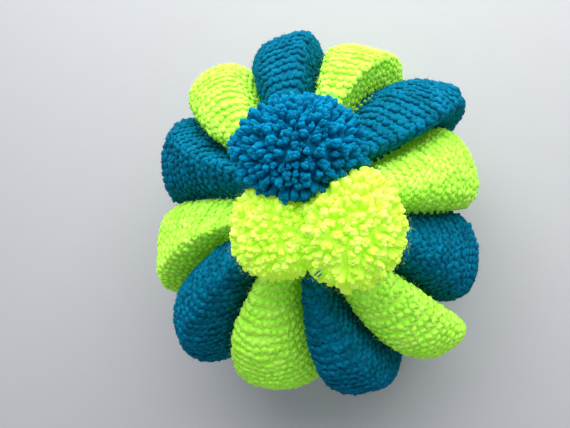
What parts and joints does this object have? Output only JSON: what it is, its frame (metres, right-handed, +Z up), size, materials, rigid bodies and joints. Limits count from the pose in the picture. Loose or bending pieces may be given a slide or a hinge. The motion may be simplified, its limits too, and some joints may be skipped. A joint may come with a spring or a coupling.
{
  "type": "tea cosy",
  "caption": "Hollow knitted tea cosy of deep puffed flutes in alternating lime and teal, gathered at the top under yarn pompoms, with a spout slit and a handle slit.",
  "frame": {"origin": "centre of the cosy's outline on the plane that its hem rests on", "axes": "+X towards the handle slit, -X towards the spout slit, +Y towards the back half, +Z up towards the pompoms"},
  "size_m": [0.1695, 0.1929, 0.1876],
  "materials": {
    "striped_knit": "thick garter-stitch knitting in acrylic yarn, lime and teal stripes up the flutes, matt and fuzzy",
    "teal_yarn": "petrol-teal acrylic yarn, matt and slightly fuzzy",
    "lime_yarn": "neon lime acrylic yarn, matt and slightly fuzzy"
  },
  "bodies": {
    "root": {"knit_back": "striped_knit", "knit_front": "striped_knit", "pompom_teal": "teal_yarn", "pompom_lime_left": "lime_yarn", "pompom_lime_right": "lime_yarn"}
  },
  "joints": []
}
